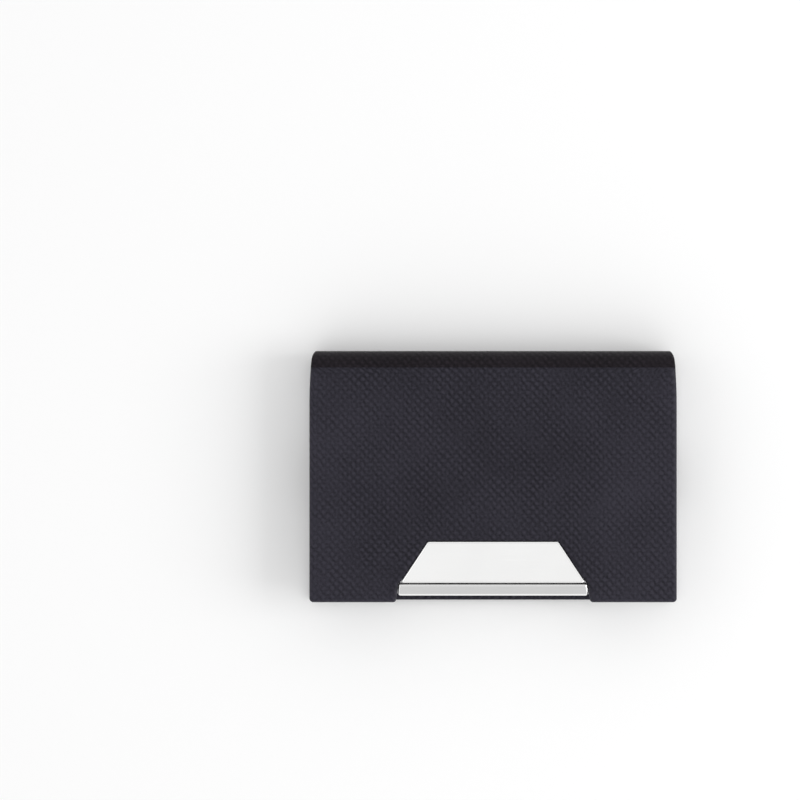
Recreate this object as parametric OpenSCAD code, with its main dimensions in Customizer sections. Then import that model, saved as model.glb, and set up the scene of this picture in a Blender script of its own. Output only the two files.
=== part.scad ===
// Flip-open card wallet: two pressed steel trays on a pin hinge, wrapped in a
// book-like leatherette cover, with a magnetic latch behind a steel thumb plate.
// The case lies on its back cover. X runs along the spine, the opening edge is at -Y,
// the spine is at +Y, and Z is the thickness. All sizes are in millimetres.

/* [Case] */
// Width of the case, along the spine
case_w = 95; // [94:0.5:110]
// Depth, from the opening edge to the outside of the spine
case_d = 65; // [64:0.5:75]
// Thickness of the closed case
case_t = 15; // [14.6:0.1:18]

/* [Cover] */
// Thickness of the leatherette skin
skin_t = 0.6; // [0.5:0.1:0.7]
// Thickness of the stiffening boards
board_t = 0.7; // [0.6:0.1:0.8]
// Thickness of the thinned hems, and of the bonding sheets between them
hem_t = 0.5; // [0.4:0.1:0.6]
// Width of the hem turned in along the free edges
hem_w = 7; // [5:0.5:8]
// Outside radius of the two long corners of the spine
spine_r = 4.3; // [4:0.1:4.6]
// Corner radius of the cover at the opening edge
cover_corner_r = 1; // [0.8:0.1:1.5]
// How far the cover stands out past the steel
overhang = 1.7; // [1.4:0.1:2]

/* [Trays] */
// Thickness of the tray steel
steel_t = 0.5; // [0.4:0.1:0.5]
// Corner radius of a tray, seen from above
tray_corner_r = 2.5; // [2:0.1:3.5]
// Reach of the lips that keep the cards in
lip_w = 2.2; // [1.5:0.1:2.4]
// Length of one lip
lip_l = 14; // [10:1:16]
// Width of the finger notch in each short wall of the base tray
notch_w = 16; // [14:1:20]
// Thickness of the felt liners
liner_t = 0.3; // [0.2:0.1:0.3]

/* [Hinge] */
// Radius of the hinge pin
pin_r = 0.6; // [0.5:0.05:0.6]
// Running clearance of the pin, all round
pin_play = 0.05; // [0.03:0.01:0.08]
// Thickness of the hinge leaves and of the knuckle walls
leaf_t = 0.45; // [0.4:0.05:0.45]
// Length of the row of knuckles
hinge_l = 84; // [70:1:86]
// Number of knuckles on both leaves together, an odd number
knuckle_count = 11; // [9:2:13]

/* [Latch] */
// Width of the thumb plate along its short inner edge
plate_inner_w = 33.7; // [30:0.5:36]
// Width of the thumb plate along its long outer edge
plate_outer_w = 47.7; // [46:0.5:49]
// Size of the thumb plate from its inner to its outer edge
plate_h = 10.6; // [9:0.2:12]
// Depth of the latch housing, across the front wall
latch_d = 2.9; // [2.8:0.05:3]
// Gap between the thumb plate and the latch housing
latch_gap = 0.45; // [0.3:0.05:0.6]
// Gap between the cover's window and the steel inside it
window_gap = 0.3; // [0.25:0.05:0.35]

/* [Hidden] */
$fn = 64;

// Limits of the cover
front_y = -case_d / 2;
spine_y = case_d / 2;
crease_y = spine_y - spine_r;
side_x = case_w / 2;
spine_side_inset = 0.5;
past = 1;

// Levels of the base, from the back face up. The lid mirrors them.
board_z = skin_t;
hem_z = board_z + board_t;
floor_z = hem_z + hem_t;
inside_z = floor_z + steel_t;
mid_z = case_t / 2;
rim_gap = 0.2;
rim_z = mid_z - rim_gap / 2;

// Hinge line
knuckle_r = pin_r + pin_play + leaf_t;
knuckle_clearance = 0.1;
axis_y = spine_y - skin_t - knuckle_clearance - knuckle_r;
axis_z = mid_z;
knuckle_gap = 0.2;
knuckle_pitch = hinge_l / knuckle_count;
leaf_foot_z = inside_z + 0.4;
leaf_head_z = axis_z - knuckle_r - knuckle_clearance;
pin_head_r = 0.95;
pin_head_l = 0.5;
pin_head_gap = 0.05;

// Outline of both trays
tray_x = side_x - overhang;
tray_front = front_y + overhang;
tray_rear = axis_y - knuckle_r - knuckle_clearance;
tray_mid_y = (tray_front + tray_rear) / 2;
lip_offset = 18;
lip_corner_r = 1;
notch_corner_r = 3;
notch_foot = 0.4;
liner_inset = 0.4;

// Latch housing, thumb plate and the lid's recess around the housing
latch_back = tray_front + latch_d;
latch_back_w = 48.6;
latch_front_w = 49.5;
latch_wall = 0.4;
latch_top_z = case_t - 0.6;
latch_slope = 0.45;
latch_bevel = 0.35;
recess_gap = 0.35;
plate_outer_y = latch_back + latch_gap;
plate_inner_y = plate_outer_y + plate_h;
plate_slope = (plate_outer_w - plate_inner_w) / 2 / plate_h;
slant_len = sqrt(1 + plate_slope ^ 2);
plate_corner_r = 0.7;
corner_steps = 8;
plate_top_z = case_t - 0.25;
plate_sheet = 0.5;

// Window of the front cover: a trapezoid whose sides steepen at a knee
knee_y = latch_back - 0.1;
mouth_w = latch_front_w + 1.1;
window_hem_w = 4;

// Magnets
magnet_x = 14;
latch_magnet = [12, 2, 9];
lid_magnet = [10, 5, 1];
magnet_play = 0.05;

// Half the width of the plate's trapezoid at height y, grown outwards by g
function trapezoid_x(y, g) =
    plate_inner_w / 2 + plate_slope * (plate_inner_y - y) + g * slant_len;

// Rectangle between two corners, with all four corners rounded
module rounded_rect(x0, y0, x1, y1, r) {
    translate([x0 + r, y0]) square([x1 - x0 - 2 * r, y1 - y0]);
    translate([x0, y0 + r]) square([x1 - x0, y1 - y0 - 2 * r]);
    for (x = [x0 + r, x1 - r], y = [y0 + r, y1 - r])
        translate([x, y]) circle(r);
}

// A flat shape standing between two levels
module slab(z0, z1) {
    translate([0, 0, z0]) linear_extrude(z1 - z0) children();
}

// A shape drawn in Y and Z, standing between two places along X
module along_x(x0, x1) {
    translate([x0, 0, 0]) rotate([90, 0, 90]) linear_extrude(x1 - x0) children();
}

// The lid is built as a second base, turned upside down on the first
module on_lid() {
    translate([0, 0, case_t]) mirror([0, 0, 1]) children();
}

module block(size, at) {
    translate(at - [size[0] / 2, size[1] / 2, 0]) cube(size);
}

// ---- Cover ----

// Outline of one cover panel: round at the opening edge, straight at the spine
module panel_outline(inset) {
    intersection() {
        rounded_rect(
            -side_x + inset, front_y + inset, side_x - inset, crease_y + 5,
            cover_corner_r - inset / 2
        );
        translate([-side_x, front_y]) square([case_w, crease_y - front_y]);
    }
}

// Point number i on the rounded inner corner of the plate's trapezoid grown by g, from
// the inner edge round to the slanted side
function corner_point(i, g, r) =
    let (
        turn = 90 - i * (90 - atan(plate_slope)) / corner_steps,
        centre_y = plate_inner_y + g - r,
        centre_x = trapezoid_x(centre_y, g) - r * slant_len
    )
    [centre_x + r * cos(turn), centre_y + r * sin(turn)];

// The plate's trapezoid grown outwards by g, cut off at height y_low, with its two
// inner corners rounded to radius r
module trapezoid_outline(y_low, g, r) {
    corner = [for (i = [0:corner_steps]) corner_point(i, g, r)];
    polygon(concat(
        [for (i = [corner_steps:-1:0]) [-corner[i][0], corner[i][1]]],
        corner,
        [[trapezoid_x(y_low, g), y_low], [-trapezoid_x(y_low, g), y_low]]
    ));
}

// Outline of the window, grown outwards by g: its sides steepen below the knee
module window_outline(g) {
    knee_x = trapezoid_x(knee_y, window_gap + g);
    mouth_x = mouth_w / 2 + g * slant_len;
    trapezoid_outline(knee_y, window_gap + g, plate_corner_r);
    polygon([
        [knee_x, knee_y], [mouth_x, front_y], [mouth_x, front_y - past],
        [-mouth_x, front_y - past], [-mouth_x, front_y], [-knee_x, knee_y]
    ]);
}

module hem_free_outline() {
    translate([-side_x + hem_w, front_y + hem_w])
        square([case_w - 2 * hem_w, crease_y - front_y - hem_w + past]);
}

// Leatherette skin over the outside of the back board, turned in on three edges
module back_skin() {
    color("#31303a") difference() {
        slab(0, floor_z) panel_outline(0);
        slab(board_z, hem_z) panel_outline(skin_t);
        slab(hem_z, floor_z + past) hem_free_outline();
    }
}

// The same skin on the lid, also turned in around the window
module front_skin() {
    color("#31303a") on_lid() difference() {
        slab(0, floor_z) panel_outline(0);
        slab(board_z, hem_z) difference() {
            panel_outline(skin_t);
            window_outline(skin_t);
        }
        slab(hem_z, floor_z + past) difference() {
            hem_free_outline();
            window_outline(window_hem_w);
        }
        slab(-past, floor_z + past) window_outline(0);
    }
}

// The free stretch of skin that bends around the hinge
module spine_skin() {
    color("#2b2a33") along_x(-side_x + spine_side_inset, side_x - spine_side_inset)
        intersection() {
            difference() {
                rounded_rect(0, 0, spine_y, case_t, spine_r);
                rounded_rect(
                    0, skin_t, spine_y - skin_t, case_t - skin_t, spine_r - skin_t
                );
            }
            translate([crease_y, 0]) square([spine_r, case_t]);
        }
}

module board_outline() {
    intersection() {
        panel_outline(skin_t);
        translate([-side_x, front_y]) square([case_w, crease_y - front_y - 0.3]);
    }
}

module back_board() {
    color("#8d8377") slab(board_z, hem_z) board_outline();
}

module front_board() {
    color("#8d8377") on_lid() slab(board_z, hem_z) difference() {
        board_outline();
        window_outline(skin_t);
    }
}

// Double-sided sheet that bonds a tray to its cover, between the hems
module bonding_sheet(y0) {
    slab(hem_z, floor_z)
        rounded_rect(-side_x + hem_w + 0.5, y0, side_x - hem_w - 0.5, crease_y - 1, 1);
}

module back_bonding_sheet() {
    color("#d8d4c8") bonding_sheet(front_y + hem_w + 0.5);
}

module front_bonding_sheet() {
    color("#d8d4c8") on_lid() bonding_sheet(plate_inner_y + window_hem_w + 1);
}

// ---- Trays ----

// Outline of a tray, with the lid's recess around the latch housing if wanted
module tray_outline(inset, recessed) {
    difference() {
        rounded_rect(
            -tray_x + inset, tray_front + inset, tray_x - inset, tray_rear - inset,
            tray_corner_r - inset
        );
        if (recessed) {
            front_x = latch_front_w / 2 + recess_gap + inset;
            back_x = latch_back_w / 2 + recess_gap + inset;
            polygon([
                [-front_x, tray_front - past], [front_x, tray_front - past],
                [front_x, tray_front], [back_x, plate_outer_y + inset],
                [-back_x, plate_outer_y + inset], [-front_x, tray_front]
            ]);
        }
    }
}

// The lips along the short walls, level with the rim
module lips() {
    for (side = [-1, 1], end = [-1, 1]) {
        middle_x = side * (tray_x - steel_t - lip_w / 2 + lip_corner_r / 2);
        middle_y = tray_mid_y + end * lip_offset;
        half_x = (lip_w + lip_corner_r) / 2;
        translate([middle_x, middle_y])
            rounded_rect(-half_x, -lip_l / 2, half_x, lip_l / 2, lip_corner_r);
    }
}

module pressed_tray(recessed) {
    difference() {
        slab(floor_z, rim_z) tray_outline(0, recessed);
        slab(inside_z, rim_z + past) tray_outline(steel_t, recessed);
    }
    slab(rim_z - steel_t, rim_z) intersection() {
        lips();
        tray_outline(0, recessed);
    }
}

// Round-bottomed notch through both short walls
module finger_notches() {
    along_x(-side_x, side_x)
        rounded_rect(
            tray_mid_y - notch_w / 2, inside_z + notch_foot,
            tray_mid_y + notch_w / 2, rim_z + 4, notch_corner_r
        );
}

// The front wall is left out where the latch housing stands
module latch_gap_in_wall() {
    block(
        [latch_front_w + 0.3, steel_t + 2 * past, case_t],
        [0, tray_front + steel_t / 2, inside_z]
    );
}

module base_tray() {
    color("silver") difference() {
        pressed_tray(false);
        finger_notches();
        latch_gap_in_wall();
    }
}

module lid_tray() {
    color("silver") on_lid() pressed_tray(true);
}

// Felt pad on a tray's floor
module liner() {
    slab(inside_z, inside_z + liner_t)
        rounded_rect(
            -tray_x + steel_t + liner_inset, plate_outer_y + steel_t + liner_inset,
            tray_x - steel_t - liner_inset, tray_rear - steel_t - liner_inset,
            tray_corner_r - steel_t
        );
}

module base_liner() {
    color("#1c1c20") liner();
}

module lid_liner() {
    color("#1c1c20") on_lid() liner();
}

// ---- Hinge ----

// Left end of the knuckle with that number
function knuckle_x(i) = -hinge_l / 2 + i * knuckle_pitch + knuckle_gap / 2;

// A leaf welded to a tray's rear wall, with every second knuckle from the first one on
module hinge_leaf(first) {
    tab_l = knuckle_pitch - knuckle_gap;
    difference() {
        union() {
            translate([-hinge_l / 2, tray_rear, leaf_foot_z])
                cube([hinge_l, leaf_t, leaf_head_z - leaf_foot_z]);
            for (i = [first:2:knuckle_count - 1]) {
                translate([knuckle_x(i), tray_rear, leaf_foot_z])
                    cube([tab_l, leaf_t, axis_z - leaf_foot_z]);
                along_x(knuckle_x(i), knuckle_x(i) + tab_l)
                    translate([axis_y, axis_z]) circle(knuckle_r);
            }
        }
        along_x(-hinge_l, hinge_l) translate([axis_y, axis_z]) circle(pin_r + pin_play);
    }
}

module base_hinge_leaf() {
    color("#b9bbbf") hinge_leaf(0);
}

module lid_hinge_leaf() {
    color("#b9bbbf") on_lid() hinge_leaf(1);
}

// Pin with a riveted head at each end
module hinge_pin() {
    head_x = hinge_l / 2 + pin_head_gap;
    color("#c9cbd0") {
        along_x(-head_x - pin_head_l / 2, head_x + pin_head_l / 2)
            translate([axis_y, axis_z]) circle(pin_r);
        for (x = [-head_x - pin_head_l, head_x])
            along_x(x, x + pin_head_l) translate([axis_y, axis_z]) circle(pin_head_r);
    }
}

// ---- Latch ----

// Outline of the latch housing seen from above, made smaller by inset
module latch_outline(inset) {
    polygon([
        [-latch_front_w / 2 + inset, tray_front + inset],
        [latch_front_w / 2 - inset, tray_front + inset],
        [latch_back_w / 2 - inset, latch_back - inset],
        [-latch_back_w / 2 + inset, latch_back - inset]
    ]);
}

// Folded steel box in the front wall of the base. It hides the latch magnets, and its
// sloping top shows in the window below the thumb plate.
module latch_housing() {
    bevel_y = tray_front + latch_bevel;
    color("silver") difference() {
        intersection() {
            slab(inside_z, case_t) latch_outline(0);
            along_x(-side_x, side_x) polygon([
                [tray_front, inside_z], [latch_back, inside_z],
                [latch_back, latch_top_z], [bevel_y, latch_top_z - latch_slope],
                [tray_front, latch_top_z - latch_slope - latch_bevel]
            ]);
        }
        slab(inside_z - past, latch_top_z - latch_slope - 2 * latch_wall)
            latch_outline(latch_wall);
    }
}

module latch_magnet(side) {
    top_z = latch_top_z - latch_slope - 2 * latch_wall - magnet_play;
    color("#aeb0b4")
        block(latch_magnet, [
            side * magnet_x, tray_front + latch_d / 2, top_z - latch_magnet[2]
        ]);
}

module latch_magnet_left() latch_magnet(-1);

module latch_magnet_right() latch_magnet(1);

// Pressed steel plate that fills the window and hides the lid's magnets
module thumb_plate() {
    color("#f0f0f0") difference() {
        slab(case_t - floor_z, plate_top_z)
            trapezoid_outline(plate_outer_y, 0, plate_corner_r);
        slab(case_t - floor_z - past, plate_top_z - plate_sheet)
            trapezoid_outline(
                plate_outer_y + plate_sheet, -plate_sheet, plate_corner_r - plate_sheet
            );
    }
}

module lid_magnet(side) {
    color("#aeb0b4")
        block(lid_magnet, [
            side * magnet_x, plate_outer_y + plate_sheet + 0.2 + lid_magnet[1] / 2,
            case_t - floor_z
        ]);
}

module lid_magnet_left() lid_magnet(-1);

module lid_magnet_right() lid_magnet(1);

back_skin();
back_board();
back_bonding_sheet();
spine_skin();
base_tray();
base_liner();
base_hinge_leaf();
hinge_pin();
latch_housing();
latch_magnet_left();
latch_magnet_right();
front_skin();
front_board();
front_bonding_sheet();
lid_tray();
lid_liner();
lid_hinge_leaf();
thumb_plate();
lid_magnet_left();
lid_magnet_right();
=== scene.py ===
import bpy, bmesh, math
import numpy as np
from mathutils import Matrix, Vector


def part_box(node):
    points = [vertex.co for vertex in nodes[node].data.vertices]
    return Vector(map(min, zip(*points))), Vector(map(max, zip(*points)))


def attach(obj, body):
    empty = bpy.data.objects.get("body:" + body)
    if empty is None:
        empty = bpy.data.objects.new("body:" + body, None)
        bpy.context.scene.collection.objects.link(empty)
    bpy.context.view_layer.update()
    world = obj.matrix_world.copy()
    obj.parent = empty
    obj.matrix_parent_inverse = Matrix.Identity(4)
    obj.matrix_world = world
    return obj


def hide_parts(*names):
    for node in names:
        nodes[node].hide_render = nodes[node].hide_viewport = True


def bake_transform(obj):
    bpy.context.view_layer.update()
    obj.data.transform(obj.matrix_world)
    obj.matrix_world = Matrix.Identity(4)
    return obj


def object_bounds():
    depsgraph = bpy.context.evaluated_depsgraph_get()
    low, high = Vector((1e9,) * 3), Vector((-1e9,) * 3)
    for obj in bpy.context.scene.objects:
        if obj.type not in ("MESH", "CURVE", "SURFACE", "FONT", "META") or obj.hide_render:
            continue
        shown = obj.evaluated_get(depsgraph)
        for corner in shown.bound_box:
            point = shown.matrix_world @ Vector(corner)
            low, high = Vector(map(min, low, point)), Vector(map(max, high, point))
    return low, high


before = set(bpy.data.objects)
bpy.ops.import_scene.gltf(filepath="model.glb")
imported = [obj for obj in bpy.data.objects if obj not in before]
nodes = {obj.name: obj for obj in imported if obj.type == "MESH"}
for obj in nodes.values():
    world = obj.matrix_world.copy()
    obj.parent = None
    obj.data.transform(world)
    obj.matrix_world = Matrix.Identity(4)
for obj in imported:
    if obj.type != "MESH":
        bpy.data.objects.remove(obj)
cad_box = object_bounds()
MM = 0.001


def mm_box(node):
    """(lowest, highest) corner of a CAD node, in millimetres."""
    lo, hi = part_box(node)
    return np.array(lo) / MM, np.array(hi) / MM


# ---------------------------------------------------------------- measures, in mm
case_lo, case_hi = np.array(cad_box[0]) / MM, np.array(cad_box[1]) / MM
front_lo, front_hi = mm_box("front_skin")
spine_lo, _ = mm_box("spine_skin")
plate_lo, plate_hi = mm_box("thumb_plate")
house_lo, house_hi = mm_box("latch_housing")
board_lo, board_hi = mm_box("front_board")

SIDE = case_hi[0]
FRONT_Y = case_lo[1]
SPINE_Y = case_hi[1]
CREASE_Y = spine_lo[1]
THICK = case_hi[2]
SPINE_R = SPINE_Y - CREASE_Y
NARROWING = 0.34  # how far each side draws in from the front edge to the crease
NARROWING_RUN = 10

PANEL_T = front_hi[2] - front_lo[2]
SKIN = front_hi[2] - board_hi[2]
BOARD = board_hi[2] - board_lo[2]
HEM = 7.0  # width of the turned-in skin along the outer edges
WINDOW_HEM = 4.0
PANEL_CORNER = 1.0
HEM_CORNER = 1.5
HEM_FALL = 0.9  # between the hem and the crease
GROOVE = 0.15  # depth of the crease
CREASE_W = 0.62
CREASE_SKIN = 0.22  # how far the pocket for the board stops short of the crease
EDGE_WEAR_AND_HIGHLIGHT = 0.01  # the third flat coordinate where an outer edge is most worn and carries the strongest painted highlight
THREAD = 1.103  # one thread of the embossed weave

PLATE_INNER = 16.85  # half the thumb plate's shorter edge; its longer edge is on -Y
PLATE_OUTER = plate_hi[0]
SLOPE = (PLATE_OUTER - PLATE_INNER) / (plate_hi[1] - plate_lo[1])
SLANT = math.sqrt(1 + SLOPE ** 2)
GAP = 0.3  # between the plate and the top edge of the window
BULGE = 0.24  # how far the skin swells into that gap, low down
KNEE_Y = house_hi[1] - 0.1  # where the window's slanted edge meets the mouth
MOUTH = house_hi[0] + 0.55


def window_x(y, grow):
    """Half the width of the window at y, made wider all round by grow."""
    return PLATE_INNER + SLOPE * (plate_hi[1] - y) + (GAP + grow) * SLANT


# ---------------------------------------------------------------- mesh helpers
def loop(verts, radii, kinds=None, inset=0.0, arc=8, step=2.0):
    """A closed outline, counter-clockwise, with rounded corners, moved inwards by inset, which
    is one number or one for each edge. The number of points depends only on the outline, so
    loops of different inset can be joined. Returns points, outward normals, and the kind of
    the edge at each point."""
    v = np.array(verts, float)
    n = len(v)
    kinds = kinds or [1.0] * n
    inset = np.broadcast_to(inset, n)
    edge = np.roll(v, -1, 0) - v
    length = np.linalg.norm(edge, axis=1)
    e = edge / length[:, None]
    left = np.stack([-e[:, 1], e[:, 0]], 1)
    corners, reach, turns, rad = [], [], [], []
    for i in range(n):
        a, b = e[i - 1], e[i]
        pa, pb = v[i] + left[i - 1] * inset[i - 1], v[i] + left[i] * inset[i]
        cross = a[0] * b[1] - a[1] * b[0]
        t = ((pb[0] - pa[0]) * b[1] - (pb[1] - pa[1]) * b[0]) / cross
        corners.append(pa + a * t)
        turn = math.atan2(cross, a @ b)
        mean = (inset[i - 1] + inset[i]) / 2
        r = max(radii[i] - mean, 0.02) if turn > 0 else max(radii[i] + mean, 0.02)
        turns.append(turn)
        rad.append(r)
        reach.append(r * math.tan(abs(turn) / 2))
    pts, nrm, kind = [], [], []
    for i in range(n):
        p, a = corners[i], e[i - 1]
        start = p - a * reach[i]
        side = 1 if turns[i] > 0 else -1
        centre = start + left[i - 1] * rad[i] * side
        first = start - centre
        for k in range(arc + 1):
            w = turns[i] * k / arc
            c, s = math.cos(w), math.sin(w)
            q = np.array([first[0] * c - first[1] * s, first[0] * s + first[1] * c])
            pts.append(centre + q)
            nrm.append(q / rad[i] * side)
            kind.append(kinds[i - 1] * (1 - k / arc) + kinds[i] * k / arc)
        j = (i + 1) % n
        end = corners[j] - e[i] * reach[j]
        begin = corners[i] + e[i] * reach[i]
        count = max(int(length[i] / step), 1)
        for k in range(1, count):
            pts.append(begin + (end - begin) * k / count)
            nrm.append(-left[i])
            kind.append(kinds[i])
    return np.array(pts), np.array(nrm), np.array(kind)


class Builder:
    """Collects points in mm, with where each lies on the flat sheet, and makes one mesh."""

    def __init__(self):
        self.bm = bmesh.new()
        self.flat = self.bm.verts.layers.float_vector.new("flat")

    def vert(self, p, flat=None):
        v = self.bm.verts.new(Vector(p) * MM)
        v[self.flat] = Vector(flat if flat is not None else (p[0], p[1], 0)) * MM
        return v

    def ring(self, pts, z, flats=None):
        """The points at height z, which is one number or one for each point."""
        zs = np.broadcast_to(z, len(pts))
        return [
            self.vert((p[0], p[1], h), None if flats is None else flats[i])
            for i, (p, h) in enumerate(zip(pts, zs))
        ]

    def join(self, a, b, closed=True):
        """A band of faces between two rings, or two lines if it is not closed."""
        n = len(a)
        for i in range(n if closed else n - 1):
            j = (i + 1) % n
            self.bm.faces.new((a[i], a[j], b[j], b[i]))

    def fill(self, *rings):
        """Flat faces inside a ring, or between an outer and an inner ring."""
        edges = []
        for r in rings:
            for i in range(len(r)):
                pair = (r[i], r[(i + 1) % len(r)])
                edges.append(self.bm.edges.get(pair) or self.bm.edges.new(pair))
        bmesh.ops.triangle_fill(self.bm, use_beauty=True, use_dissolve=False, edges=edges)

    def piece(self, name, body, mat, replaces):
        """Makes the mesh, riding on body, in place of the CAD nodes in replaces."""
        bmesh.ops.recalc_face_normals(self.bm, faces=self.bm.faces)
        me = bpy.data.meshes.new(name)
        self.bm.to_mesh(me)
        self.bm.free()
        ob = bpy.data.objects.new(name, me)
        bpy.context.scene.collection.objects.link(ob)
        me.materials.append(mat)
        for p in me.polygons:
            p.use_smooth = True
        wn = ob.modifiers.new("weighted", "WEIGHTED_NORMAL")
        wn.mode, wn.weight, wn.keep_sharp = "FACE_AREA", 60, False
        if body:
            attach(ob, body)
        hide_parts(*replaces)
        return ob


# ---------------------------------------------------------------- materials
class Nodes:
    """Short names for building a material's node tree."""

    def __init__(self, name):
        self.mat = bpy.data.materials.new(name)
        self.mat.use_nodes = True
        self.t = self.mat.node_tree
        self.t.nodes.clear()
        out = self.t.nodes.new("ShaderNodeOutputMaterial")
        self.bsdf = self.t.nodes.new("ShaderNodeBsdfPrincipled")
        self.t.links.new(self.bsdf.outputs[0], out.inputs[0])

    def put(self, socket, value):
        if isinstance(value, bpy.types.NodeSocket):
            self.t.links.new(value, socket)
        else:
            socket.default_value = value

    def set(self, **values):
        for k, v in values.items():
            self.put(self.bsdf.inputs[k.replace("_", " ")], v)

    def math(self, op, a, b=0.0, c=0.0):
        n = self.t.nodes.new("ShaderNodeMath")
        n.operation = op
        for s, v in zip(n.inputs, (a, b, c)):
            self.put(s, v)
        return n.outputs[0]

    def attribute(self, name):
        n = self.t.nodes.new("ShaderNodeAttribute")
        n.attribute_name = name
        return n.outputs["Vector"]

    def object_coords(self):
        return self.t.nodes.new("ShaderNodeTexCoord").outputs["Object"]

    def scaled(self, vector, scale):
        n = self.t.nodes.new("ShaderNodeVectorMath")
        n.operation = "MULTIPLY"
        self.put(n.inputs[0], vector)
        n.inputs[1].default_value = scale
        return n.outputs[0]

    def xyz(self, vector):
        n = self.t.nodes.new("ShaderNodeSeparateXYZ")
        self.put(n.inputs[0], vector)
        return n.outputs

    def noise(self, vector, scale, detail=2.0, rough=0.5):
        n = self.t.nodes.new("ShaderNodeTexNoise")
        self.put(n.inputs["Vector"], vector)
        n.inputs["Scale"].default_value = scale
        n.inputs["Detail"].default_value = detail
        n.inputs["Roughness"].default_value = rough
        return n.outputs[0]

    def warped(self, vector, scale, reach):
        """The vector, wandering up to about reach from its place."""
        n = self.t.nodes.new("ShaderNodeTexNoise")
        self.put(n.inputs["Vector"], vector)
        n.inputs["Scale"].default_value = scale
        n.inputs["Detail"].default_value = 1.0
        add = self.t.nodes.new("ShaderNodeVectorMath")
        add.operation = "MULTIPLY_ADD"
        self.put(add.inputs[0], n.outputs["Color"])
        add.inputs[1].default_value = (reach * 2,) * 3
        self.put(add.inputs[2], vector)
        return add.outputs[0]

    def voronoi(self, vector, scale):
        n = self.t.nodes.new("ShaderNodeTexVoronoi")
        n.feature = "F1"
        self.put(n.inputs["Vector"], vector)
        n.inputs["Scale"].default_value = scale
        return n.outputs["Distance"]

    def ramp(self, fac, *stops):
        n = self.t.nodes.new("ShaderNodeValToRGB")
        el = n.color_ramp.elements
        while len(el) > len(stops):
            el.remove(el[-1])
        while len(el) < len(stops):
            el.new(0.5)
        for e, (pos, colour) in zip(el, stops):
            e.position, e.color = pos, (*colour, 1)
        self.put(n.inputs[0], fac)
        return n.outputs[0]

    def range(self, value, lo, hi):
        n = self.t.nodes.new("ShaderNodeMapRange")
        self.put(n.inputs[0], value)
        n.inputs[3].default_value, n.inputs[4].default_value = lo, hi
        return n.outputs[0]

    def bump(self, height, distance, normal=None):
        n = self.t.nodes.new("ShaderNodeBump")
        n.inputs["Strength"].default_value = 1.0
        n.inputs["Distance"].default_value = distance
        self.put(n.inputs["Height"], height)
        if normal is not None:
            self.put(n.inputs["Normal"], normal)
        return n.outputs[0]


def leatherette(name, dark, light, spec, emboss=0.00006):
    """Embossed like a plain weave of 1.1 mm threads, a little uneven, over a finely pebbled
    skin. The third flat coordinate grows along the outer edges, which are worn, slightly burnished
    and lightened by a painted highlight."""
    m = Nodes(name)
    flat = m.attribute("flat")
    edge = m.xyz(m.scaled(flat, (1, 1, 1 / (EDGE_WEAR_AND_HIGHLIGHT * MM))))[2]
    x, y, _ = m.xyz(m.scaled(m.warped(flat, 220, 0.00022), (1000,) * 3))
    k = math.pi / THREAD
    kx, ky = m.math("MULTIPLY", x, k), m.math("MULTIPLY", y, k)
    along = m.math("SINE", m.math("ADD", kx, ky))
    across = m.math("SINE", m.math("SUBTRACT", kx, ky))
    twill = m.math("SINE", m.math("MULTIPLY_ADD", kx, 1.8, ky))
    warp = m.math("COSINE", m.math("MULTIPLY", kx, 2))
    weft = m.math("COSINE", m.math("MULTIPLY", ky, 2))
    dots = m.math("MULTIPLY_ADD", across, 0.6, along)
    dots = m.math("MULTIPLY_ADD", m.math("SUBTRACT", weft, warp), 0.42, dots)
    strength = m.range(m.noise(flat, 130, 2, 0.5), -0.12, 0.44)
    fine = m.noise(flat, 1450, 1, 0.5)
    h = m.math("MULTIPLY_ADD", dots, strength, 0.5)
    h = m.math("MULTIPLY_ADD", twill, 0.07, h)
    h = m.math("MULTIPLY_ADD", m.math("SUBTRACT", fine, 0.5), 0.8, h)
    cells = m.voronoi(flat, 3400)
    pores = m.noise(flat, 8000, 3, 0.6)
    uneven = m.noise(flat, 130, 2, 0.5)
    broad = m.noise(flat, 45, 3, 0.55)
    normal = m.bump(uneven, 0.00006)
    normal = m.bump(h, emboss, normal)
    normal = m.bump(cells, 0.000035, normal)
    normal = m.bump(pores, 0.000014, normal)
    # The colour follows the emboss height, the cells and the pores. This is partly the skin's own
    # grain and partly painted shade and sheen of the emboss: lighter on the peaks and cell centres,
    # darker between them.
    tone = m.math("MULTIPLY_ADD", m.math("SUBTRACT", broad, 0.5), 0.7, h)
    tone = m.math("MULTIPLY_ADD", m.math("SUBTRACT", cells, 0.45), -0.4, tone)
    tone = m.math("MULTIPLY_ADD", m.math("SUBTRACT", pores, 0.5), 0.5, tone)
    # Lighter along the outer edges: partly wear, partly a painted highlight where the rounded edge
    # catches the light.
    tone = m.math("MULTIPLY_ADD", edge, 0.4, tone)
    rough = m.math("MULTIPLY_ADD", cells, 0.4, m.math("MULTIPLY", h, -0.4))
    m.set(
        Base_Color=m.ramp(tone, (0.1, dark), (0.95, light)),
        Roughness=m.range(m.math("MULTIPLY_ADD", edge, -0.35, rough), 0.54, 0.74),
        Specular_IOR_Level=spec,
        Normal=normal,
        Sheen_Weight=0.03,
        Sheen_Roughness=0.5,
    )
    return m.mat


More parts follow.
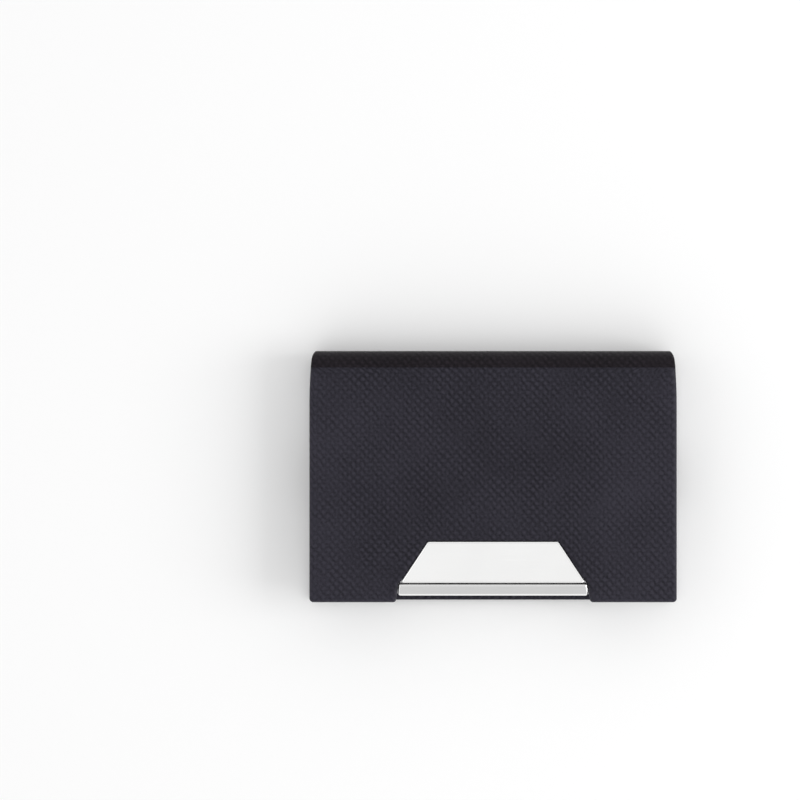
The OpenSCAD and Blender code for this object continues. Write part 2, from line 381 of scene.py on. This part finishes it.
def steel(name, colour, rough, streak, wave=0.0, tint=0.94, along=(4, 4, 320)):
    """Polished or brushed steel: fine streaks along the walls and, on level faces, along X,
    and a very slight waviness."""
    m = Nodes(name)
    at = m.object_coords()
    facing = m.xyz(m.t.nodes.new("ShaderNodeTexCoord").outputs["Normal"])[2]
    level = m.math("GREATER_THAN", m.math("ABSOLUTE", facing), 0.6)
    walls = m.noise(m.scaled(at, along), 16, 4, 0.65)
    tops = m.noise(m.scaled(at, (4, 320, 4)), 16, 4, 0.65)
    lines = m.math("MULTIPLY_ADD", m.math("SUBTRACT", tops, walls), level, walls)
    cloud = m.noise(at, 70, 3, 0.5)
    smear = m.noise(m.scaled(at, (1, 3, 3)), 160, 2, 0.5)
    normal = m.bump(lines, streak)
    if wave:
        normal = m.bump(cloud, wave, normal)
    low = tuple(c * tint for c in colour)
    m.set(
        Base_Color=m.ramp(m.math("MULTIPLY_ADD", cloud, 0.5, m.math("MULTIPLY", lines, 0.5)),
                          (0.35, low), (0.65, colour)),
        Metallic=1.0,
        Roughness=m.range(m.math("MULTIPLY_ADD", lines, 0.6, m.math("MULTIPLY", smear, 0.4)),
                          rough * 0.7, rough * 1.35),
        Normal=normal,
    )
    return m.mat


def felt(name):
    """Short pressed fibres lying every way, a little matted in places."""
    m = Nodes(name)
    at = m.object_coords()
    curled = m.warped(at, 900, 0.0007)
    fibres = m.noise(m.scaled(curled, (1, 5, 1)), 1500, 3, 0.65)
    for stretch in ((5, 1, 1), (3, 3.6, 1)):
        more = m.noise(m.scaled(curled, stretch), 1400, 3, 0.65)
        fibres = m.math("MAXIMUM", fibres, more)
    matted = m.noise(at, 260, 3, 0.6)
    both = m.math("MULTIPLY_ADD", matted, 0.35, m.math("MULTIPLY", fibres, 0.75))
    m.set(
        Base_Color=m.ramp(both, (0.42, (0.0035, 0.0035, 0.0042)), (0.72, (0.034, 0.034, 0.038))),
        Roughness=m.range(both, 0.86, 1.0),
        Specular_IOR_Level=0.12,
        Sheen_Weight=0.22,
        Sheen_Roughness=0.5,
        Normal=m.bump(both, 0.00026),
    )
    return m.mat


def pulp_board(name):
    """Grey board pressed from pulp, speckled."""
    m = Nodes(name)
    at = m.object_coords()
    specks = m.noise(at, 1500, 4, 0.7)
    m.set(
        Base_Color=m.ramp(specks, (0.35, (0.17, 0.145, 0.115)), (0.65, (0.29, 0.255, 0.21))),
        Roughness=m.range(specks, 0.85, 0.98),
        Normal=m.bump(specks, 0.00003),
    )
    return m.mat


def bonding(name):
    """A thin cream bonding sheet with a faint weave."""
    m = Nodes(name)
    at = m.object_coords()
    weave = m.noise(m.scaled(at, (1, 6, 1)), 700, 2, 0.5)
    m.set(
        Base_Color=m.ramp(weave, (0.3, (0.52, 0.49, 0.41)), (0.7, (0.64, 0.61, 0.53))),
        Roughness=m.range(weave, 0.5, 0.7),
    )
    return m.mat


LEATHER = leatherette("cover_leatherette", (0.0052, 0.0044, 0.0092), (0.0275, 0.0252, 0.0375), 0.20)
# Darker than the cover's colours: painted shade over the rounded spine, where it curves away from
# the light. The purple tint is its own.
SPINE_PAINTED_SHADE = leatherette("spine_leatherette", (0.0032, 0.0019, 0.0036), (0.0150, 0.0112, 0.0155), 0.13,
                    0.00005)
POLISHED = steel("polished_steel", (0.945, 0.945, 0.94), 0.13, 0.0000006, 0.000012, 0.955)
BRUSHED = steel("brushed_steel", (0.66, 0.66, 0.67), 0.31, 0.0000050, 0.0, 0.80)
HINGE = steel("hinge_steel", (0.62, 0.62, 0.635), 0.24, 0.0000012, 0.0, 0.9, (4, 320, 320))
NICKEL = steel("magnet_plating", (0.66, 0.665, 0.68), 0.16, 0.0000004)
FELT = felt("felt")
BOARDS = pulp_board("board")
BOND = bonding("bonding_sheet")


# ---------------------------------------------------------------- cover panels
# The edge turned round the board, from the outer face to the inner face: inset, depth
TURN = [
    (1.30, 0.0), (1.00, 0.010), (0.76, 0.040), (0.56, 0.090), (0.39, 0.16), (0.25, 0.26),
    (0.14, 0.375), (0.06, 0.52), (0.012, 0.69), (0.0, 0.88), (0.0, 1.08), (0.012, 1.25),
    (0.06, 1.40), (0.14, 1.53), (0.25, 1.63), (0.39, 1.71), (0.56, 1.765), (0.76, 1.79),
    (1.00, 1.8),
]
STANDING = 1.2  # below this depth the swollen edge of the window stands upright


def narrowed(pts):
    """The cover draws in a little towards the spine."""
    out = np.array(pts, float)
    t = np.clip((out[:, 1] - (CREASE_Y - NARROWING_RUN)) / NARROWING_RUN, 0, 1)
    out[:, 0] *= 1 - NARROWING * t * t / SIDE
    return out


def groove(d):
    """Depth of the crease at a distance from its line."""
    return GROOVE * np.exp(-((d / CREASE_W) ** 2))


def panel_corners(windowed):
    """Corners and radii of a panel, and the kind of each edge: 1 turned in, 0 the crease."""
    corners = [(-SIDE, FRONT_Y)]
    radii = [PANEL_CORNER]
    if windowed:
        inner_y = plate_hi[1] + GAP
        left = [(-MOUTH, FRONT_Y), (-window_x(KNEE_Y, 0), KNEE_Y),
                (-window_x(inner_y, 0), inner_y)]
        corners += left + [(-x, y) for x, y in left[::-1]]
        radii += [0.7, 1.6, 0.75, 0.75, 1.6, 0.7]
    corners += [(SIDE, FRONT_Y), (SIDE, CREASE_Y), (-SIDE, CREASE_Y)]
    radii += [PANEL_CORNER, 0.08, 0.08]
    kinds = [1.0] * (len(corners) - 2) + [0.0, 1.0]
    return corners, radii, kinds


def hem_corners(windowed):
    """Where the turned-in skin ends on the inner face."""
    x, y0, y1 = SIDE - HEM, FRONT_Y + HEM, CREASE_Y - HEM_FALL
    if not windowed:
        return [(-x, y0), (x, y0), (x, y1), (-x, y1)]
    inner_y = plate_hi[1] + GAP + WINDOW_HEM
    low = window_x(y0, WINDOW_HEM)
    top = window_x(inner_y, WINDOW_HEM) - 1.5
    return [(-x, y0), (-low, y0), (-top, inner_y), (top, inner_y), (low, y0), (x, y0),
            (x, y1), (-x, y1)]


def panel(name, body, cad, windowed, up):
    """A cover panel: skin over the board, turned round its edges and in around the window."""
    corners, radii, kinds = panel_corners(windowed)
    z = (lambda depth: THICK - depth) if up else (lambda depth: depth)
    outline, nrm, kind = loop(corners, radii, kinds)
    on_outside = (np.abs(outline[:, 0]) > SIDE - 2) | (outline[:, 1] < FRONT_Y + 1)
    # The skin swells towards the plate all round the window, half as much at the mouth,
    # and not at the knee, which passes close to the latch housing
    swell = np.zeros(len(corners))
    if windowed:
        swell[2:5] = BULGE
        swell[[1, 5]] = BULGE / 2
    past_knee = np.clip((np.abs(outline[:, 1] - KNEE_Y) - 0.3) / 0.8, 0, 1)[:, None]

    b = Builder()
    rings = []
    first = TURN[0][0]
    top = loop(corners, radii, kinds, first)[0]
    run, d_before, depth_before = 0.0, first, 0.0
    for d, depth in TURN:
        full = np.clip((depth - 0.15) / 0.75, 0, 1)
        insets = d - swell * full * full * (3 - 2 * full)
        if depth > STANDING:
            insets = np.where(swell > 0, -swell, insets)
        pts = loop(corners, radii, kinds, d)[0]
        pts = narrowed(pts + (loop(corners, radii, kinds, insets)[0] - pts) * past_knee)
        run += math.hypot(d - d_before, depth - depth_before)
        d_before, depth_before = d, depth
        crease = groove(d) if depth < 1 else depth
        # Strongest part way round the turned edge: wear, and a painted highlight of the rounded
        # rim.
        wear_and_highlight = math.exp(-(((depth - 0.3) / 0.35) ** 2)) * kind * on_outside
        flats = np.column_stack([top + nrm * run, EDGE_WEAR_AND_HIGHLIGHT * wear_and_highlight])
        rings.append(b.ring(pts, z(kind * depth + (1 - kind) * crease), flats))
    for lower, upper in zip(rings, rings[1:]):
        b.join(lower, upper)
    b.fill(rings[0])
    ends = hem_corners(windowed)
    hem = loop(ends, [HEM_CORNER] * len(ends))[0]
    hem_low = b.ring(hem, z(PANEL_T))
    hem_high = b.ring(hem, z(SKIN + BOARD))
    b.fill(rings[-1], hem_low)
    b.join(hem_low, hem_high)
    # The inside of the skin stands one skin in, and closer at the crease
    inner, _, inner_kind = loop(corners, radii, kinds, SKIN)
    inner = narrowed(inner)
    inner[:, 1] += (1 - inner_kind) * (SKIN - CREASE_SKIN)
    in_low = b.ring(inner, z(SKIN + BOARD))
    in_high = b.ring(inner, z(SKIN))
    b.fill(hem_high, in_low)
    b.join(in_low, in_high)
    b.fill(in_high)
    return b.piece(name, body, LEATHER, (cad,))


panel("front_leather", "lid", "front_skin", True, True)
panel("back_leather", "base", "back_skin", False, False)


# ---------------------------------------------------------------- spine
SHALLOW = 0.3  # only lines nearer the outer face than this follow the crease


def spine_section():
    """From the lid's crease round to the base's: Y, Z and the outward normal's Y and Z."""
    bend_steps, back_steps = 22, 14
    section = []
    for k in range(bend_steps + 1):
        w = math.pi / 2 * (1 - k / bend_steps)
        c, s = math.cos(w), math.sin(w)
        section.append((CREASE_Y + SPINE_R * c, THICK - SPINE_R + SPINE_R * s, c, s))
    for k in range(1, back_steps):
        z = THICK - SPINE_R - (THICK - 2 * SPINE_R) * k / back_steps
        section.append((SPINE_Y, z, 1.0, 0.0))
    for k in range(bend_steps + 1):
        w = -math.pi / 2 * k / bend_steps
        c, s = math.cos(w), math.sin(w)
        section.append((CREASE_Y + SPINE_R * c, SPINE_R + SPINE_R * s, c, s))
    return np.array(section)


def spine_columns():
    """Places along X. Each is: which end it is measured from, or 0 for a share of the way
    across; the distance or share; and how deep the outer and the inner face lie. The ends
    are folded in, so the skin is double there."""
    double, hem = 1.05, 3.3
    fold = []
    for k in range(8):
        a = math.pi / 2 * k / 7
        half = double / 2 * math.sin(a)
        fold.append((double / 2 * (1 - math.cos(a)), double / 2 - half, double / 2 + half))
    fold += [(d, 0.0, double) for d in (1.1, 1.9, 2.6, hem - 0.25)]
    fold += [(hem, 0.0, double - 0.08), (hem + 0.12, 0.0, SKIN)]
    across = 36
    columns = [(-1, *place) for place in fold]
    columns += [(0, k / across, 0.0, SKIN) for k in range(1, across)]
    columns += [(1, *place) for place in fold[::-1]]
    return columns, fold[-1][0]


def spine():
    """The stretch of skin round the hinge, shaped as it lies with the lid shut; on the real case it
    bends when the lid opens.
    """
    s = spine_section()
    arc = np.concatenate([[0], np.cumsum(np.hypot(*np.diff(s[:, :2], axis=0).T))])
    dip = groove(np.minimum(arc, arc[-1] - arc))
    t = np.clip((s[:, 0] - CREASE_Y) / SPINE_R, 0, 1)
    end_x = SIDE - NARROWING - 0.35 * t - 0.55 * t ** 6
    columns, hem_end = spine_columns()
    b = Builder()

    def line(column, depth):
        side, d = column[:2]
        x = side * (end_x - d) if side else (end_x - hem_end) * (2 * d - 1)
        down = depth + dip * (depth < SHALLOW)
        y, z = s[:, 0] - s[:, 2] * down, s[:, 1] - s[:, 3] * down
        return [b.vert((x[i], y[i], z[i]), (x[i], CREASE_Y + arc[i], 0)) for i in range(len(s))]

    outside = [line(c, c[2]) for c in columns]
    inside = [line(c, c[3]) for c in columns[1:-1]]
    inside = [outside[0]] + inside + [outside[-1]]
    for sheet in (outside, inside):
        for p, q in zip(sheet, sheet[1:]):
            b.join(p, q, False)
    for i in (0, -1):
        for k in range(len(outside) - 1):
            around = (outside[k][i], outside[k + 1][i], inside[k + 1][i], inside[k][i])
            b.bm.faces.new(dict.fromkeys(around))
    ob = b.piece("spine_leather", None, SPINE_PAINTED_SHADE, ("spine_skin",))
    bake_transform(ob)


spine()


# ---------------------------------------------------------------- steel in the window
# The pressed rim, from the flat to the side: inset, drop
RIM = [(0.46, 0.0), (0.38, 0.010), (0.32, 0.030), (0.26, 0.056), (0.18, 0.092), (0.10, 0.129),
       (0.045, 0.165), (0.012, 0.215), (0.0, 0.28)]
PLATE_SHEET = 0.5
HOUSE_SHEET = 0.4
HOUSE_SLOPE = 0.45  # how much lower the housing's top is at the front
HOUSE_TAPER = 0.45  # how much narrower the housing is at the back, on each side


def thumb_plate():
    """The pressed plate: its top, a side all round, and open below."""
    y0, y1, z0, z1 = plate_lo[1], plate_hi[1], plate_lo[2], plate_hi[2]
    corners = [(-PLATE_OUTER, y0), (PLATE_OUTER, y0), (PLATE_INNER, y1), (-PLATE_INNER, y1)]
    radii = [0.35, 0.35, 0.9, 0.9]
    b = Builder()
    rings = []
    for inset, drop in RIM:
        rings.append(b.ring(loop(corners, radii, None, inset)[0], z1 - drop))
    rings.append(b.ring(loop(corners, radii)[0], z0))
    inside = loop(corners, radii, None, PLATE_SHEET)[0]
    rings.append(b.ring(inside, z0))
    rings.append(b.ring(inside, z1 - PLATE_SHEET))
    for p, q in zip(rings, rings[1:]):
        b.join(p, q)
    b.fill(rings[0])
    b.fill(rings[-1])
    return b.piece("thumb_plate_polished", "lid", POLISHED, ("thumb_plate",))


def latch_housing():
    """The folded box below the plate, with a top that slopes down to the front."""
    y0, y1, z0, z1 = house_lo[1], house_hi[1], house_lo[2], house_hi[2]
    back = house_hi[0] - HOUSE_TAPER
    corners = [(-house_hi[0], y0), (house_hi[0], y0), (back, y1), (-back, y1)]
    radii = [0.75, 0.75, 0.3, 0.3]
    b = Builder()
    rings = []

    def level(pts):
        return z1 - HOUSE_SLOPE * np.clip((y1 - pts[:, 1]) / (y1 - y0), 0, 1)

    for inset, drop in RIM:
        pts = loop(corners, radii, None, inset)[0]
        rings.append(b.ring(pts, level(pts) - drop))
    pts = loop(corners, radii)[0]
    rings.append(b.ring(pts, z0))
    inside = loop(corners, radii, None, HOUSE_SHEET)[0]
    rings.append(b.ring(inside, z0))
    rings.append(b.ring(inside, z1 - HOUSE_SLOPE - 2 * HOUSE_SHEET))
    for p, q in zip(rings, rings[1:]):
        b.join(p, q)
    b.fill(rings[0])
    b.fill(rings[-1])
    return b.piece("latch_housing_polished", "base", POLISHED, ("latch_housing",))


thumb_plate()
latch_housing()


# ---------------------------------------------------------------- felt liners
FELT_CORNER = 2.0
# The soft edge, from the floor of the tray up: inset, share of the felt's thickness
FELT_EDGE = [(0.0, 0.0), (0.0, 0.55), (0.05, 0.8), (0.16, 0.95), (0.4, 1.0)]


def felt_liner(name, body, cad, up):
    """A felt pad with a soft upper edge, on the floor of a tray."""
    lo, hi = mm_box(cad)
    corners = [(lo[0], lo[1]), (hi[0], lo[1]), (hi[0], hi[1]), (lo[0], hi[1])]
    radii = [FELT_CORNER] * 4
    t = hi[2] - lo[2]
    z = (lambda h: lo[2] + h) if up else (lambda h: hi[2] - h)
    b = Builder()
    rings = [b.ring(loop(corners, radii, None, inset)[0], z(t * share))
             for inset, share in FELT_EDGE]
    for p, q in zip(rings, rings[1:]):
        b.join(p, q)
    b.fill(rings[0])
    b.fill(rings[-1])
    return b.piece(name, body, FELT, (cad,))


felt_liner("base_felt", "base", "base_liner", True)
felt_liner("lid_felt", "lid", "lid_liner", False)


# ---------------------------------------------------------------- steel and hidden CAD nodes
finish_of = {
    "base_tray": BRUSHED, "lid_tray": BRUSHED, "base_hinge_leaf": HINGE, "lid_hinge_leaf": HINGE,
    "hinge_pin": HINGE, "latch_magnet_left": NICKEL, "latch_magnet_right": NICKEL,
    "lid_magnet_left": NICKEL, "lid_magnet_right": NICKEL, "back_board": BOARDS,
    "front_board": BOARDS, "back_bonding_sheet": BOND, "front_bonding_sheet": BOND,
}
for name, mat in finish_of.items():
    for slot in nodes[name].material_slots:
        slot.material = mat


# ---------------------------------------------------------------- floor, light, camera
def floor():
    """A plain pale floor."""
    m = Nodes("floor")
    at = m.object_coords()
    m.set(Base_Color=(0.93, 0.93, 0.93, 1), Roughness=m.range(m.noise(at, 40, 2), 0.85, 0.95),
          Specular_IOR_Level=0.1)
    me = bpy.data.meshes.new("floor")
    me.from_pydata([(-3, -3, 0), (3, -3, 0), (3, 3, 0), (-3, 3, 0)], [], [(0, 1, 2, 3)])
    me.materials.append(m.mat)
    ob = bpy.data.objects.new("floor", me)
    bpy.context.scene.collection.objects.link(ob)
    ob.location.z = -0.0002  # just clear of the back cover


def area(name, at, target, size, radiance):
    """A soft box at a place, facing target. Its power gives that radiance."""
    data = bpy.data.lights.new(name, "AREA")
    data.shape, data.size, data.size_y = "RECTANGLE", size[0], size[1]
    data.energy = radiance * 4 * size[0] * size[1]
    ob = bpy.data.objects.new(name, data)
    bpy.context.scene.collection.objects.link(ob)
    ob.location = at
    ob.rotation_euler = (Vector(target) - Vector(at)).to_track_quat("-Z", "Y").to_euler()
    ob.visible_camera = False


def tent():
    """A white light tent: greyer overhead, brightest a little above the middle of its sides."""
    world = bpy.data.worlds.new("tent")
    world.use_nodes = True
    t = world.node_tree
    split = t.nodes.new("ShaderNodeSeparateXYZ")
    t.links.new(t.nodes.new("ShaderNodeTexCoord").outputs["Generated"], split.inputs[0])
    ramp = t.nodes.new("ShaderNodeValToRGB")
    t.links.new(split.outputs[2], ramp.inputs[0])
    stops = [(0.0, 0.62), (0.3, 0.95), (0.55, 1.0), (0.74, 0.98), (0.9, 0.655), (1.0, 0.655)]
    el = ramp.color_ramp.elements
    while len(el) < len(stops):
        el.new(0.5)
    for e, (height, grey) in zip(el, stops):
        e.position, e.color = height, (grey, grey, grey, 1)
    t.links.new(ramp.outputs[0], t.nodes["Background"].inputs[0])
    bpy.context.scene.world = world


floor()
camera_data = bpy.data.cameras.new("camera")
camera = bpy.data.objects.new("camera", camera_data)
bpy.context.scene.collection.objects.link(camera)
bpy.context.scene.camera = camera
# The view is straight down on the front cover, and the case lies right of and below the
# middle of the frame
FRAME_W = 800 / 3.870  # mm across the frame: its pixels over the pixels per mm
FRAME_X, FRAME_Y = -24.07, 19.8  # the middle of the frame
REACH = 1.0  # metres from the front cover to the camera
SENSOR = 36  # mm
camera_data.sensor_width = SENSOR
camera_data.lens = SENSOR * REACH / (FRAME_W * MM)
camera.location = (FRAME_X * MM, FRAME_Y * MM, case_hi[2] * MM + REACH)

tent()
area("overhead", (0.02, 0.0, 1.3), (0, 0, 0), (0.5, 0.5), 0.24)
area("right", (0.98, -0.05, 0.70), (0, 0, 0), (0.6, 0.8), 2.6)
area("left", (-0.85, 0.15, 0.8), (0, 0, 0), (0.6, 0.7), 0.25)
bpy.context.scene.view_settings.view_transform = "Standard"
bpy.context.scene.view_settings.look = "None"
